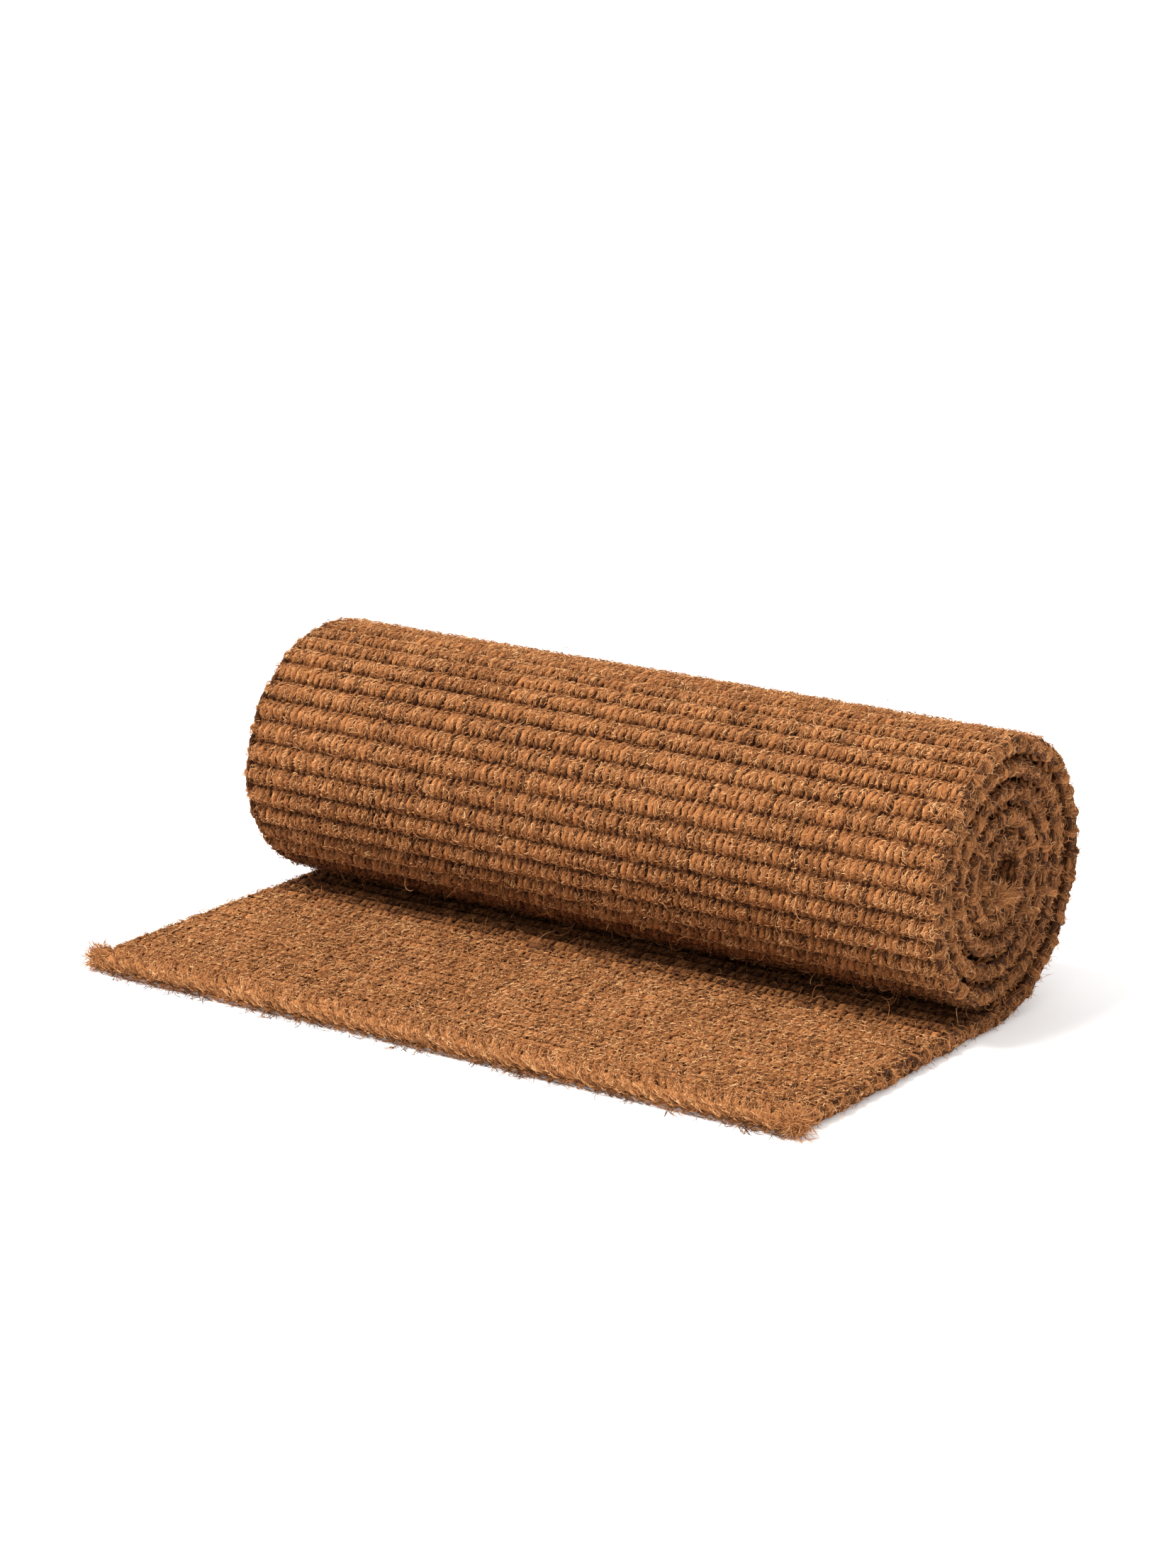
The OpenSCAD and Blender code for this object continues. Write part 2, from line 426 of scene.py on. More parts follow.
def warp_humps(soup, rib, face, full, only_ends=False):
    """The humps of every second warp yarn, over one face of one rib. Where full, curls
    will cover them, so they are sunk. Their cores carry painted shade, dark where they dive into the
    valleys."""
    columns = hump_columns(rib, face)
    x = column_place(columns)
    if only_ends:
        seen = np.abs(x) > HALF_WIDTH - SEEN_ENDS
        columns, x = columns[seen], x[seen]
    n = len(x)
    rings, sides = 5, 5 if full else 4
    paths = hump_paths(rib, face, x, rings, CORE_SUNK if full else 0)
    size = 0.92 + rng.normal(0, 0.05, n)
    start = rng.uniform(-0.25, 0.25, n)
    turn = start[:, None] + 0.6 * (np.linspace(0, 1, rings) - 0.5) * face
    tone = YARN_TONE[columns] * 0.6 + rng.normal(0, 0.6, n)
    arch = np.sin(math.pi * np.linspace(0, 1, rings))
    # Painted shade: the cores are darker than their yarn's tone, most at the ends that dive into the
    # valleys, and most of all where curls cover them
    core_shade_at_ends, core_shade_at_middle = (3.9, 1.2) if full else (1.2, 0.9)
    core = tone[:, None] - (core_shade_at_ends - (core_shade_at_ends - core_shade_at_middle) * arch)
    taper = 0.66 + 0.34 * arch
    tubes(soup, paths, YARN_WIDE * size, YARN_FLAT * size, turn, core, sides, taper)


def hump_skin(rib, face):
    """The outline [y, z] of the yarns over one face of a rib, with its outward
    directions. Curls lie on it."""
    u = np.linspace(0, 1, 41)
    c = np.cos(math.pi * u)
    points, up = rib_curve(rib, (1 - np.sign(c) * np.abs(c) ** HUMP_PLUNGE) / 2)
    line = points + (face * HUMP_HEIGHT * np.sin(math.pi * u) ** 0.85)[:, None] * up
    tangent = unit(np.gradient(line, axis=0))
    out = face * np.stack([-tangent[:, 1], tangent[:, 0]], 1)
    skin = line + out * (YARN_FLAT + SKIN_GAP) - MIDDLES[rib]
    along, height = skin @ RIB_ALONG[rib], skin @ RIB_UP[rib] * face
    if rib < ROLL_START:
        # Wear and the fibres' nap level the tongue, so its rows hardly show.
        height = (height + height.max()) / 2
    else:
        along = along * ROLL_SKIN
    line = MIDDLES[rib] + np.outer(along, RIB_ALONG[rib]) + face * np.outer(height, RIB_UP[rib])
    return line, out


def curls(soup, skin, n, heading, ridges, shades, x=None, half=HALF_WIDTH - 5 * MM, margin=0.05):
    """Curved locks of fibre that lie over a skin [y, z], their ends tucked under it.
    heading is their mean angle from the skin's own direction, and its spread.
    ridges are (first, period, slant, bow, depth): where the yarns below rise.
    shades are (tone, painted shade towards the skin's two edges)."""
    radius = CURL_RADIUS
    points, out = skin
    run = np.concatenate([[0], np.cumsum(np.linalg.norm(np.diff(points, axis=0), axis=1))])
    long = rng.uniform(3.2, 7.6, n) * MM
    angle = rng.normal(heading[0], heading[1], n)
    bend = rng.normal(1.5, 1.0, n)
    bend[np.abs(bend) < 0.2] = 0.2
    t = np.linspace(-0.5, 0.5, 4)
    turned = angle[:, None] + bend[:, None] * t
    arm = (long / bend)[:, None]
    middle = rng.uniform(margin, 1 - margin, n) * run[-1]
    along = middle[:, None] + arm * (np.sin(turned) - np.sin(angle)[:, None])
    along = np.clip(along, 0.02 * run[-1], 0.98 * run[-1])
    if x is None:
        x = rng.uniform(-half, half, n)
    across = x[:, None] + arm * (np.cos(angle)[:, None] - np.cos(turned))
    first, period, slant, bow, depth = ridges
    share = middle / run[-1]
    ridge = x - first - slant * (share - 0.5) + bow * (np.sin(math.pi * share) - 0.5)
    dip = depth * (0.5 - 0.5 * np.cos(2 * math.pi * ridge / period))
    peak = rng.gamma(2.0, 0.30, n) * MM - 0.1 * MM - dip * 0.8 * MM
    lift = -0.5 * MM + (0.5 * MM + peak)[:, None] * np.cos(math.pi * t)
    paths = np.empty((n, 4, 3))
    paths[:, :, 0] = across
    for k in (0, 1):
        place = np.interp(along, run, points[:, k])
        paths[:, :, 1 + k] = place + lift * np.interp(along, run, out[:, k])
    valley = np.abs(2 * share - 1) ** 2
    yarn = np.round(ridge / period).astype(int) % COLUMNS
    shade = shades[0] + rng.normal(0, 1.0, n) + rng.normal(0, 0.5, COLUMNS)[yarn]
    # Painted shade: curls are darker where they lie in the dips between yarns, and towards the valleys
    # between ribs
    shade -= 0.9 * dip + shades[1] * valley
    shade -= SPECK_DARKER * (rng.random(n) < SPECK_SHARE)
    paths[:, :, 2] = np.maximum(paths[:, :, 2], FLOOR_CLEARANCE + radius)
    spindles(soup, paths, radius * rng.uniform(0.6, 1.35, n), shade)


def rib_curls(soup, rib, face, n, ends_only=False):
    """Curls over one face of a rib, most of them bowed to the left."""
    first = column_place(hump_columns(rib, face)[0])
    on_tongue = rib < ROLL_START
    spread, depth, tone, valley_painted_shade, margin = TONGUE_CURLS if on_tongue else ROLL_CURLS
    ridges = (first, YARN_SPACING, 2 * HUMP_LEAN * face, HUMP_BOW, depth)
    shades = (tone, valley_painted_shade)
    # Painted shade: the curls under the roll and on the outer turn's last ribs are coloured dark
    first_far = ROLL_START - FAR_RIBS
    if rib == first_far:
        shades = (DUSK_PAINTED_SHADE, WEDGE_VALLEY_PAINTED_SHADE)
    elif first_far < rib < ROLL_START or rib >= COIL_START - ROLL_SHADE_PAINTED_RIBS:
        shades = (WEDGE_PAINTED_SHADE, WEDGE_VALLEY_PAINTED_SHADE)
    x = None
    if ends_only:
        end = np.sign(rng.normal(0, 1, n))
        x = end * (HALF_WIDTH - rng.uniform(6, SEEN_ENDS / MM, n) * MM)
        # Partly dirt and partly painted shade: curls at the ends of the innermost ribs are darker, and
        # painted darker towards the valleys
        shades = (-0.6, 1.0)
    curls(soup, hump_skin(rib, face), n, (0.35 * face, spread), ridges, shades, x, margin=margin)


def knob_middle(rib, end):
    """The middle of the knob at a rib's right (1) or left (-1) end."""
    inset = KNOB_INSET + (0.8 + 1.5 * meander(rib, 110 * MM * end)) * MM
    inset += COIL_INSET * (rib >= COIL_START)
    return np.array([end * (HALF_WIDTH - inset), *MIDDLES[rib]])


def rib_knobs(soup, rib, locks):
    """The yarn loops that wrap each end of a rib, over a lumpy heart."""
    offsets = np.linspace(-3.3, 3.3, 4) * MM
    n = len(offsets)
    sweep = np.linspace(-2.2, 2.2, 8)
    along = np.array([0.0, *RIB_ALONG[rib]])
    up = np.array([0.0, *RIB_UP[rib]])
    share = np.linspace(-1, 1, 7)
    heart_reach, heart_radius = 5.4 * MM, 5.0 * MM
    for end in (-1, 1):
        middle = knob_middle(rib, end)
        heart = middle + np.outer(share * heart_reach, along)
        width = np.sqrt(1.06 - share ** 2) * heart_radius
        # Painted shade: the heart is coloured dark, for the shade between the loops
        tubes(soup, heart[None], np.ones(1), np.ones(1), np.zeros((1, len(share))),
              np.array([-1.6]), 8, width, hint=up)
        pole = unit(along + rng.normal(0, 0.38, (n, 3)))
        out = unit(end * X_AXIS + rng.normal(0, 0.15, (n, 3)))
        out = unit(out - (out * pole).sum(1)[:, None] * pole)
        rise = np.cross(pole, out)
        size = KNOB_RADIUS * rng.uniform(0.9, 1.08, n)
        ring = np.sqrt(np.maximum(size ** 2 - offsets ** 2, (1.5 * MM) ** 2))
        arc = np.cos(sweep)[None, :, None] * out[:, None] + np.sin(sweep)[None, :, None] * rise[:, None]
        paths = (middle + offsets[:, None] * pole)[:, None] + ring[:, None, None] * arc
        # Painted shade: the loops are coloured darker than the yarns on the ribs' faces, for the shade
        # on the rib ends
        round_yarns(soup, paths, along, LOOP_RADIUS, locks, 3.0, rng.normal(-1.4, 1.0, n),
                    sides=5, steps=6)


def edge_links(soup, rib):
    """Yarns that run along the mat's long edge, from one rib's knob to the next."""
    if rib + 1 == len(MIDDLES):
        return
    yarns = 5
    for end in (-1, 1):
        a, b = knob_middle(rib, end), knob_middle(rib + 1, end)
        up = np.array([0.0, *VALLEY_UP[rib + 1]])
        bulge = (a + b) / 2 + [end * 3.6 * MM, 0, 0]
        points = np.array([
            [a + up * rise * 0.6, bulge + up * rise, b + up * rise * 0.6]
            for rise in np.linspace(-5.8, 5.8, yarns) * MM])
        points += rng.normal(0, 0.5 * MM, points.shape)
        # Painted shade: these yarns are coloured dark, for the shade in the gaps between the knobs
        round_yarns(soup, smooth_paths(points, 5), X_AXIS, LOOP_RADIUS, 3, 2.5,
                    rng.normal(-2.8, 0.8, yarns), sides=5)


# ---------------------------------------------------------------- weft cords
def weft_cord(soup, rib):
    """The thick cord inside a rib, lumpy and loosely twisted."""
    steps = 22
    u = np.linspace(0, 1, steps)
    reach = HALF_WIDTH - 4.5 * MM - COIL_INSET * (rib >= COIL_START)
    paths = np.empty((1, steps, 3))
    paths[0, :, 0] = reach * (2 * u - 1)
    wander = 0.25 * MM * np.sin(u * 60 + rng.uniform(0, 6))
    paths[0, :, 1:] = MIDDLES[rib] + wander[:, None] * RIB_UP[rib]
    taper = 1 + 0.05 * np.sin(u * 90 + rng.uniform(0, 6))
    taper[[0, -1]] *= 0.6
    size = np.array([CORD_RADIUS])
    tubes(soup, paths, size, size * 0.92, (u * 20 + rng.uniform(0, 6))[None],
          rng.normal(-1.6, 0.3, 1), 7, taper, hint=np.array([0.0, *RIB_ALONG[rib]]))


# ---------------------------------------------------------------- loose fibres
def fibres(soup, roots, heads, lengths, radius, bend, steps, tone, sink, axis=None):
    """Thin curly fibres that leave roots along heads, bend by an angle in all,
    about axis or at random, and are drawn back against the directions sink."""
    n = len(roots)
    step = (lengths / (steps - 1))[:, None]
    axis = unit(rng.normal(0, 1, (n, 3)) if axis is None else axis)
    paths = np.empty((n, steps, 3))
    paths[:, 0] = roots
    head = unit(heads)
    for k in range(1, steps):
        head = unit(head + np.cross(axis, head) * (bend / (steps - 1))[:, None])
        head = unit(head - sink * 0.3 * (k / steps))
        axis = unit(axis + rng.normal(0, 0.25, (n, 3)))
        paths[:, k] = paths[:, k - 1] + head * step
    paths[:, :, 2] = np.maximum(paths[:, :, 2], FLOOR_CLEARANCE + radius)
    shade = tone - SPECK_DARKER * (rng.random(n) < SPECK_SHARE)
    spindles(soup, paths, radius * rng.uniform(0.75, 1.35, n), shade)


def surface_roots(rib, face, n, spread):
    """Random points on one face of a rib, with the outward directions there."""
    angle = rng.uniform(-spread, spread, n)
    out = (np.cos(angle)[:, None] * RIB_UP[rib] * face
           + np.sin(angle)[:, None] * RIB_ALONG[rib])
    x = rng.uniform(-1, 1, n) * (HALF_WIDTH - 4 * MM)
    depth = rng.uniform(-1.7, 0.2, n)[:, None] * MM
    roots = np.column_stack([x, MIDDLES[rib] + out * (RIB_RADIUS + depth)])
    return roots, np.column_stack([np.zeros(n), out])


def nap(soup, rib, face, n):
    """Short curls that lie over the yarns, most of them bowed to the left."""
    roots, away = surface_roots(rib, face, n, 1.25)
    heading = rng.normal(1.25, 0.7, n)
    turned = rng.random(n) < 0.5
    heading[turned] += math.pi
    across = np.column_stack([np.zeros(n), np.tile(RIB_ALONG[rib], (n, 1))])
    flat = np.cos(heading)[:, None] * X_AXIS + np.sin(heading)[:, None] * across
    lift = rng.uniform(0.05, 0.65, n)[:, None]
    axis = away * np.where(rng.random(n) < 0.75, 1, -1)[:, None] + rng.normal(0, 0.45, (n, 3))
    fibres(soup, roots, flat + away * lift, rng.uniform(3.0, 7.5, n) * MM, FIBRE_RADIUS * 1.15,
           rng.uniform(1.0, 3.4, n), 4, rng.normal(1.0, 1.3, n), away * 0.9, axis)


def strays(soup, rib, face, n):
    """Long curly fibres that stand off the surface."""
    roots, away = surface_roots(rib, face, n, 1.0)
    heads = away * rng.uniform(0.1, 0.9, n)[:, None] + rng.normal(0, 0.6, (n, 3))
    inward = (heads * away).sum(1) < 0.1
    heads[inward] += away[inward] * 0.6
    lengths = rng.gamma(2.2, 4.6, n).clip(6, 24) * MM
    fibres(soup, roots, heads, lengths, FIBRE_RADIUS * 1.1, rng.uniform(1.0, 4.5, n), 8,
           rng.normal(0.9, 0.9, n), away * 0.9)


def end_fibres(soup, middle, end, radius, n):
    """Curls that wrap a knob on a long edge, and fibres that stick out of it. Those
    that face along the mat's width carry painted light, and those between the knobs painted shade."""
    out = unit(rng.normal(0, 1, (n, 3)) + [0.9 * end, 0, 0])
    roots = middle + out * (radius + rng.uniform(0.2, 1.6, n)[:, None] * MM)
    # Painted light and shade: the tone rises with how far a curl faces out along the mat's width
    fibres(soup, roots, np.cross(out, rng.normal(0, 1, (n, 3))), rng.uniform(3.5, 8, n) * MM,
           STRAND_RADIUS, rng.uniform(0.8, 2.6, n), 4,
           rng.normal(-3.7, 1.0, n) + 5.6 * (out[:, 0] * end).clip(0, 1), out)
    few = n // 3
    out, roots = out[:few], roots[:few]
    heads = out * 0.7 + rng.normal(0, 0.6, (few, 3))
    lengths = rng.gamma(2.2, 3.0, few).clip(3, 13) * MM
    fibres(soup, roots, heads, lengths, FIBRE_RADIUS * 1.1, rng.uniform(1.0, 5.0, few), 5,
           rng.normal(0.8, 1.0, few), out * 0.8)


def knob_fibres(soup, rib, n):
    """Fibres on the knobs at a rib's two ends, and on the links to the next rib's."""
    for end in (-1, 1):
        middle = knob_middle(rib, end)
        end_fibres(soup, middle, end, KNOB_RADIUS, n)
        if rib + 1 < len(MIDDLES):
            end_fibres(soup, (middle + knob_middle(rib + 1, end)) / 2, end, 3.6 * MM, n // 2)


# ---------------------------------------------------------------- materials
TONE_WEIGHT = 0.105  # of one step of a yarn's or fibre's tone, in the colour ramp
PATCH_SCALE, PATCH_WEIGHT = 16, 0.24  # of slow changes over the mat
GRAIN_SCALE, GRAIN_WEIGHT = 900, 0.3  # of specks on a fibre
STREAK_STRETCH = (130, 4, 4)  # of streaks, by the yarn coordinate


def coir(name, deep, middle, light, streaks, roughness):
    """Matt coir: tone per yarn and fibre, which also holds painted light and shade, patchy ageing,
    streaks along the twist.
    """
    material = bpy.data.materials.new(name)
    material.use_nodes = True
    nodes, links = material.node_tree.nodes, material.node_tree.links
    shader = nodes["Principled BSDF"]
    shader.inputs["Roughness"].default_value = roughness
    shader.inputs["Specular IOR Level"].default_value = 0.22

    tone = nodes.new("ShaderNodeAttribute")
    tone.attribute_name = "tone"
    yarn = nodes.new("ShaderNodeAttribute")
    yarn.attribute_name = "yarn"
    place = nodes.new("ShaderNodeTexCoord")

    def noise(vector, scale, detail, roughness=0.5):
        node = nodes.new("ShaderNodeTexNoise")
        node.inputs["Scale"].default_value = scale
        node.inputs["Detail"].default_value = detail
        node.inputs["Roughness"].default_value = roughness
        links.new(vector, node.inputs["Vector"])
        return node.outputs["Fac"]

    def weighted(source, weight, offset):
        """offset plus weight times the source."""
        node = nodes.new("ShaderNodeMath")
        node.operation = "MULTIPLY_ADD"
        node.inputs[1].default_value = weight
        node.inputs[2].default_value = offset
        links.new(source, node.inputs[0])
        return node.outputs[0]

    def total(a, b):
        node = nodes.new("ShaderNodeMath")
        node.operation = "ADD"
        links.new(a, node.inputs[0])
        links.new(b, node.inputs[1])
        return node.outputs[0]

    stretch = nodes.new("ShaderNodeMapping")
    stretch.inputs["Scale"].default_value = STREAK_STRETCH
    links.new(yarn.outputs["Vector"], stretch.inputs["Vector"])
    patches = noise(place.outputs["Object"], PATCH_SCALE, 4)
    streak = noise(stretch.outputs["Vector"], 1.0, 5, 0.65)
    grain = noise(place.outputs["Object"], GRAIN_SCALE, 3)

    base = total(weighted(tone.outputs["Fac"], TONE_WEIGHT, 0.5),
                 weighted(patches, PATCH_WEIGHT, -PATCH_WEIGHT / 2))
    fine = total(weighted(streak, streaks, -streaks / 2),
                 weighted(grain, GRAIN_WEIGHT, -GRAIN_WEIGHT / 2))
    ramp = nodes.new("ShaderNodeValToRGB")
    ramp.color_ramp.interpolation = "EASE"
    ramp.color_ramp.elements[0].position = 0.08
    ramp.color_ramp.elements[0].color = (*deep, 1)
    ramp.color_ramp.elements[1].position = 0.92
    ramp.color_ramp.elements[1].color = (*light, 1)
    centre = ramp.color_ramp.elements.new(0.5)
    centre.color = (*middle, 1)
    links.new(total(base, fine), ramp.inputs["Fac"])
    links.new(ramp.outputs["Color"], shader.inputs["Base Color"])

    bump = nodes.new("ShaderNodeBump")
    bump.inputs["Strength"].default_value = 0.9
    bump.inputs["Distance"].default_value = 0.5 * MM
    links.new(streak, bump.inputs["Height"])
    links.new(bump.outputs["Normal"], shader.inputs["Normal"])
    return material


WARP = coir("coir_warp_yarn", (0.06, 0.019, 0.006), (0.47, 0.188, 0.060), (0.90, 0.51, 0.23), 0.5, 0.85)
WEFT = coir("coir_weft_cord", (0.03, 0.011, 0.004), (0.18, 0.075, 0.024), (0.42, 0.22, 0.09), 0.6, 0.9)
EDGE = coir("coir_plait", (0.06, 0.020, 0.007), (0.46, 0.186, 0.060), (0.88, 0.50, 0.23), 0.5, 0.85)


# ---------------------------------------------------------------- the woven sections
def crossings(section, ribs, body):
    """The sheet of yarns packed at mid-thickness, where they cross between faces."""
    half = HALF_WIDTH - SHEET_INSET
    across = np.linspace(-1, 1, 61) * half
    rows = [rib_curve(rib, v) for rib in ribs for v in (0.0, 0.5)] + [rib_curve(ribs[-1], 1.0)]
    soup = Soup()
    middle = np.array([r[0] for r in rows])
    up = np.array([r[1] for r in rows])
    m, w = len(rows), len(across)
    ripple = 0.4 * MM * np.sin(np.arange(w) * 2.1)[None, :] * np.ones((m, 1))
    faces = []
    for side in (1, -1):
        rise = side * CROSSING_THICKNESS / 2 + ripple
        yz = middle[:, None] + rise[..., None] * up[:, None]
        faces.append(np.concatenate([np.broadcast_to(across[None, :, None], (m, w, 1)), yz], 2))
    verts = np.concatenate([f.reshape(-1, 3) for f in faces])
    index = np.arange(2 * m * w).reshape(2, m, w)

    def patch(a, b, c, d):
        return np.stack([a, b, c, d], -1).reshape(-1, 4)

    top, low = index
    quads = np.vstack([
        patch(top[:-1, :-1], top[:-1, 1:], top[1:, 1:], top[1:, :-1]),
        patch(low[:-1, :-1], low[1:, :-1], low[1:, 1:], low[:-1, 1:]),
        patch(top[0, :-1], low[0, :-1], low[0, 1:], top[0, 1:]),
        patch(top[-1, 1:], low[-1, 1:], low[-1, :-1], top[-1, :-1]),
        patch(top[1:, 0], low[1:, 0], low[:-1, 0], top[:-1, 0]),
        patch(top[:-1, -1], low[:-1, -1], low[1:, -1], top[1:, -1])])
    yarn = np.column_stack([verts[:, 1], verts[:, 0] / YARN_SPACING, np.zeros(len(verts))])
    # Painted shade: the crossing yarns inside the mat are coloured dark
    soup.add(verts, quads, np.empty((0, 3), int), np.full(len(verts), -2.2), yarn)
    piece = soup.object(piece_name(section) + "_warp_crossings", WARP)
    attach(piece, body)


def piece_name(section):
    return section.replace("turn_strip", "outer_turn")


def make_section(section):
    """All pieces of one section: warp yarns, weft cords, loose fibres and crossings."""
    body = BODY_OF[section + "_warp"]
    ribs = [i for i, s in enumerate(OWNER) if s == section]
    warp, weft = Soup(), Soup()
    # The laid section has too many ribs for one piece of loose fibres.
    batch = 3 if section == "laid" else len(ribs)
    batches = [Soup() for _ in range(0, len(ribs), batch)]
    for k, rib in enumerate(ribs):
        loose = batches[k // batch]
        on_tongue, in_coil = rib < ROLL_START, rib >= COIL_START
        # Face 1 looks up from the laid mat and in towards the roll's heart.
        for face in (1, -1):
            outside = (face == 1) == on_tongue
            covered = in_coil and (face == 1 or rib >= COIL_BARED)
            full = outside and not in_coil
            warp_humps(warp, rib, face, full, only_ends=covered)
            if full:
                seen = rib < ROLL_START - FAR_RIBS or rib >= ROLL_START + BACK_RIBS
                rib_curls(loose, rib, face, SEEN_CURLS if seen else BEHIND_CURLS)
                strays(loose, rib, face, STRAYS)
            elif not covered:
                nap(loose, rib, face, QUIET_NAP)
                strays(loose, rib, face, QUIET_STRAYS)
            elif rib >= len(MIDDLES) - HEART_RIBS:
                rib_curls(loose, rib, face, HEART_CURLS, ends_only=True)
        rib_knobs(warp, rib, 3)
        edge_links(warp, rib)
        knob_fibres(loose, rib, KNOB_CURLS)
        weft_cord(weft, rib)
    name = piece_name(section)
    pieces = [(warp, name + "_warp_yarns", WARP, "coir_warp", section + "_warp"),
              (weft, name + "_weft_cords", WEFT, "coir_weft", section + "_weft")]
    for k, loose in enumerate(batches):
        pieces.append((loose, f"{name}_loose_fibres_{k + 1}", WARP, "coir_warp", None))
    for soup, piece, material, slot, node in pieces:
        made = soup.object(piece, material)
        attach(made, body)
        if node:
            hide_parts(node)
    crossings(section, ribs, body)


# ---------------------------------------------------------------- plaits and knots
def rope(soup, y, z, radius, pitch, way, plies, tone, half, steps):
    """A rope along X, of plies twisted round each other. way is 1 or -1."""
    run = np.linspace(-half, half, steps)
    phase = way * 2 * math.pi * run / pitch + np.arange(plies)[:, None] * 2 * math.pi / plies
    paths = np.empty((plies, steps, 3))
    paths[:, :, 0] = run
    paths[:, :, 1] = y + radius * np.cos(phase) + 0.35 * MM * np.sin(run * 90 + 1)
    paths[:, :, 2] = z + radius * np.sin(phase)
    size = radius * (1.15 if plies == 2 else 0.95)
    turns = 2 * half / pitch
    round_yarns(soup, paths, Z_AXIS, size, 7, 3 * math.pi * turns,
                np.full(plies, tone) + rng.normal(0, 0.3, plies), sides=7)


def folded_ends(soup, half, back, front, top):
    """Warp ends folded over the front edge, all leaning to the right."""
    spacing = 6.4 * MM
    n = int(2 * (half + 4 * MM) / spacing)
    x = (np.arange(n) - (n - 1) / 2) * spacing + rng.normal(0, 0.6 * MM, n)
    lean = 8.0 * MM + rng.normal(0, 1.4 * MM, n)
    # Each point's y and z, and its share of the lean
    shape = [
        (back + 2.0 * MM, 4.0 * MM, -0.8),
        (back - 1.0 * MM, top + 0.4 * MM, -0.5),
        ((back + front) / 2 + 1 * MM, top + 0.8 * MM, 0.0),
        (front + 8.0 * MM, top - 1.6 * MM, 0.5),
        (front + 8.0 * MM, top / 2 - 2 * MM, 0.7)]
    points = np.empty((n, len(shape), 3))
    for k, (y, z, share) in enumerate(shape):
        points[:, k, 0] = x + lean * share
        points[:, k, 1] = y + rng.normal(0, 0.5 * MM, n)
        points[:, k, 2] = z + rng.normal(0, 0.35 * MM, n)
    round_yarns(soup, smooth_paths(points, 8), X_AXIS, 2.4 * MM, 9, 3.0, rng.normal(0.1, 0.7, n))


def filler_cord(soup, y, z, radius, half):
    """A plain cord that fills the plait, and is hardly seen."""
    run = np.linspace(-half, half, 60)
    path = np.stack([run, np.full(60, y), np.full(60, z)], 1)[None]
    tubes(soup, path, np.array([radius]), np.array([radius * 0.9]), (run * 200)[None],
          np.array([-1.6]), 8, hint=Z_AXIS)


def nose_arc(start, stop, points):
    """Outward directions [y, z] round the plait's nose, between two shares of a half
    turn. Share 0 looks up, 0.5 forward and 1 down."""
    turn = np.linspace(start * math.pi, stop * math.pi, points)
    return np.stack([-np.sin(turn), np.cos(turn)], 1)


def plait_curls(soup, half, back, front, top):
    """Curls over the plait's top, then light lobes along its very edge, and an
    underside in painted shade."""
    nose = np.array([front + 8 * MM, 8.2 * MM])
    arc = nose_arc(0, 0.5, 12)
    lid = np.array([[back + 2 * MM, top - 1.5 * MM], [back - 5 * MM, top + 2.2 * MM]])
    tops = np.vstack([lid, nose + arc * 8.6 * MM])
    outs = np.vstack([[[0.0, 1.0], [0.0, 1.0]], arc])
    ridges = (0.0, 6.4 * MM, 8 * MM, 0.0, 1.0)
    curls(soup, (tops, outs), 3800, (0.45, 0.7), ridges, (0.8, 0.0), half=half)
    lobes = (0.28, 0.62, 2000, (1.15, 0.25), 1.6, 3.4)
    # Painted shade: the underside's curls are coloured dark
    underside = (0.6, 0.86, 1200, (1.5, 0.25), -1.8, 0.4)
    for start, stop, n, heading, tone, depth in (lobes, underside):
        arc = nose_arc(start, stop, 10)
        ridges = (0.0, 13 * MM, 18 * MM, 0.0, depth)
        curls(soup, (nose + arc * 9.3 * MM, arc), n, heading, ridges, (tone, 0.0), half=half + 6 * MM)


def plait_fibres(soup, half, back, front, top):
    """Loose fibres on the plait, and dark tufts that hang forward over the floor."""
    n = 900
    roots = np.column_stack([rng.uniform(-half, half, n), rng.uniform(front + 2 * MM, back, n),
                             np.full(n, top - 0.6 * MM)])
    heads = rng.normal(0, 1, (n, 3)) * [1, 1, 0.3] + [0, -0.3, 0.2]
    fibres(soup, roots, heads, rng.uniform(3, 10, n) * MM, FIBRE_RADIUS, rng.uniform(0.5, 3, n), 5,
           rng.normal(1.3, 0.9, n), np.tile(Z_AXIS * 1.2, (n, 1)))
    n, tufts = 520, 80
    x = rng.uniform(-half, half, tufts)[rng.integers(0, tufts, n)] + rng.normal(0, 1.2 * MM, n)
    roots = np.column_stack([x, np.full(n, front - 0.4 * MM), rng.uniform(1, 7, n) * MM])
    heads = rng.normal(0, 0.4, (n, 3)) + [0.1, -0.9, -0.25]
    fibres(soup, roots, heads, rng.gamma(2.2, 4.0, n).clip(4, 17) * MM, FIBRE_RADIUS * 1.6,
           rng.uniform(0.3, 3, n), 5, rng.normal(-3.0, 1.2, n), np.tile(Z_AXIS * 0.7, (n, 1)))


def front_plait():
    low, high = (np.array(c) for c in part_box("front_plait"))
    half, back, front, top = float(high[0]), float(high[1]), float(low[1]), float(high[2])
    soup = Soup()
    folded_ends(soup, half, back, front, top)
    rope(soup, front + 5.0 * MM, top * 0.63, 2.5 * MM, 26 * MM, 1, 2, 0.4, half + 3 * MM, 150)
    # Painted shade: the lower rope, under the plait's nose, is coloured darker than the upper one
    rope(soup, front + 6.2 * MM, 4.2 * MM, 1.9 * MM, 24 * MM, -1, 2, -1.2, half + 3 * MM, 120)
    filler_cord(soup, back - 6 * MM, 4.8 * MM, 4.2 * MM, half)
    filler_cord(soup, front + 9 * MM, 6.4 * MM, 5.2 * MM, half)
    plait_curls(soup, half, back, front, top)
    plait_fibres(soup, half, back, front, top)
    finish_edge(soup, "front_edge_plait", "front_plait")


